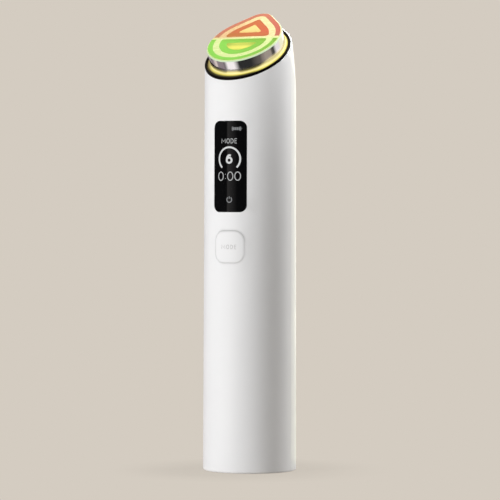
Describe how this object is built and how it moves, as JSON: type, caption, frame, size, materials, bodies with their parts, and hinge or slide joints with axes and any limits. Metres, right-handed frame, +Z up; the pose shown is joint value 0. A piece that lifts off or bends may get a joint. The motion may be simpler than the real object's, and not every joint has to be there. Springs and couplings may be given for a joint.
{
  "type": "facial toning device",
  "caption": "Upright handheld facial toning wand: round casing with a slanted lit contact head, slim front display, push button and a charging socket in the base.",
  "frame": {"origin": "centre of the round base, on the surface it stands on", "axes": "+Z up along the casing; the display, the button and the low side of the slanted head face -Y; +X is to the right of someone facing the display"},
  "size_m": [0.0372, 0.0374, 0.1829],
  "materials": {
    "casing": "gloss",
    "display_window": "gloss",
    "mode_button": "gloss",
    "trim_ring": "gloss",
    "light_ring": "frosted",
    "head_shell": "polished",
    "face_plate": "frosted",
    "front_electrode": "satin",
    "front_lens": "gloss",
    "rear_electrode": "satin",
    "rear_lens": "gloss",
    "contact_pins": "polished",
    "circuit_board": "satin",
    "leds": "satin",
    "head_base": "satin",
    "head_clamp": "satin",
    "screws": "satin",
    "seals": "matt",
    "flex": "satin",
    "display_module": "gloss",
    "display_bracket": "satin",
    "connectors": "matt",
    "button_guide": "satin",
    "switch_plunger": "satin",
    "tact_switch": "satin",
    "board_chips": "matt",
    "buzzer": "satin",
    "transformer_core": "matt",
    "transformer_coil": "satin",
    "battery_cell": "satin",
    "battery_tabs": "satin",
    "battery_pads": "matt",
    "motor_can": "satin",
    "motor_sleeve": "matt",
    "motor_shaft": "polished",
    "motor_weight": "satin",
    "chassis": "satin",
    "bottom_cap": "satin",
    "charging_port": "polished"
  },
  "bodies": {
    "body": {"casing": "casing", "display_window": "display_window", "trim_ring": "trim_ring", "light_ring": "light_ring", "head_shell": "head_shell", "face_plate": "face_plate", "front_outer_electrode": "front_electrode", "front_inner_electrode": "front_electrode", "front_lens": "front_lens", "rear_outer_electrode": "rear_electrode", "rear_inner_electrode": "rear_electrode", "rear_lens": "rear_lens", "contact_pins": "contact_pins", "led_board": "circuit_board", "leds": "leds", "head_base": "head_base", "head_clamp": "head_clamp", "head_screws": "screws", "head_seal": "seals", "head_flex": "flex", "display_gasket": "seals", "display_module": "display_module", "display_bracket": "display_bracket", "display_flex": "flex", "flex_connectors": "connectors", "button_seal": "seals", "button_guide": "button_guide", "tact_switch": "tact_switch", "main_board": "circuit_board", "board_chips": "board_chips", "buzzer": "buzzer", "transformer_core": "transformer_core", "transformer_coil": "transformer_coil", "battery_cell": "battery_cell", "battery_tabs": "battery_tabs", "battery_pads": "battery_pads", "motor_can": "motor_can", "motor_sleeve": "motor_sleeve", "chassis": "chassis", "chassis_screws": "screws", "cap_screws": "screws", "bottom_cap": "bottom_cap", "bottom_seal": "seals", "port_gasket": "seals", "charging_port": "charging_port", "port_board": "circuit_board"},
    "button": {"mode_button": "mode_button", "switch_plunger": "switch_plunger"},
    "rotor": {"motor_shaft": "motor_shaft", "motor_weight": "motor_weight"}
  },
  "joints": [
    {"name": "button_press", "type": "slide", "parent": "body", "child": "button", "axis": [0, 1, 0], "range_m": [0, 0.0004], "stiffness_N_per_m": 1500},
    {"name": "rotor_spin", "type": "hinge", "parent": "body", "child": "rotor", "pos_m": [0, 0.003, 0.14], "axis": [0, 0, 1], "continuous": true}
  ]
}
